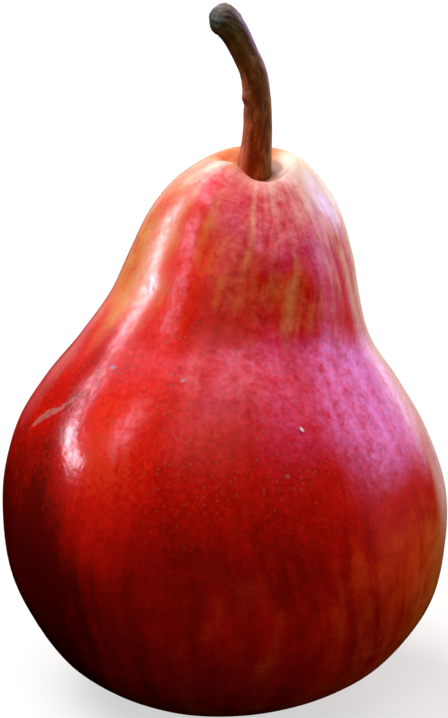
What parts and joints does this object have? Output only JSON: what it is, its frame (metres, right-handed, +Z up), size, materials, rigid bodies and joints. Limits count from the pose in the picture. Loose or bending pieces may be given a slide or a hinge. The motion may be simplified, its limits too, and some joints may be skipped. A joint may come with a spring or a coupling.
{
  "type": "pear",
  "caption": "Red pear with a rounded belly, a narrow neck and a curved woody stem, resting on the low ring round its calyx.",
  "frame": {"origin": "on the surface that the pear stands on, under the middle of the whole pear as seen from above", "axes": "+Z up along the fruit, -Y to the front, where the crown's lip dips before the stem; the stem's upper end arches towards -X"},
  "size_m": [0.0768, 0.0758, 0.119],
  "materials": {
    "skin": "smooth waxy fruit skin, red with yellow and orange streaks at the neck",
    "stem": "green wood turned brown, ridged lengthwise, satin",
    "calyx": "dried sepals, dull brown"
  },
  "bodies": {
    "root": {"fruit": "skin", "stem": "stem", "calyx": "calyx"}
  },
  "joints": []
}
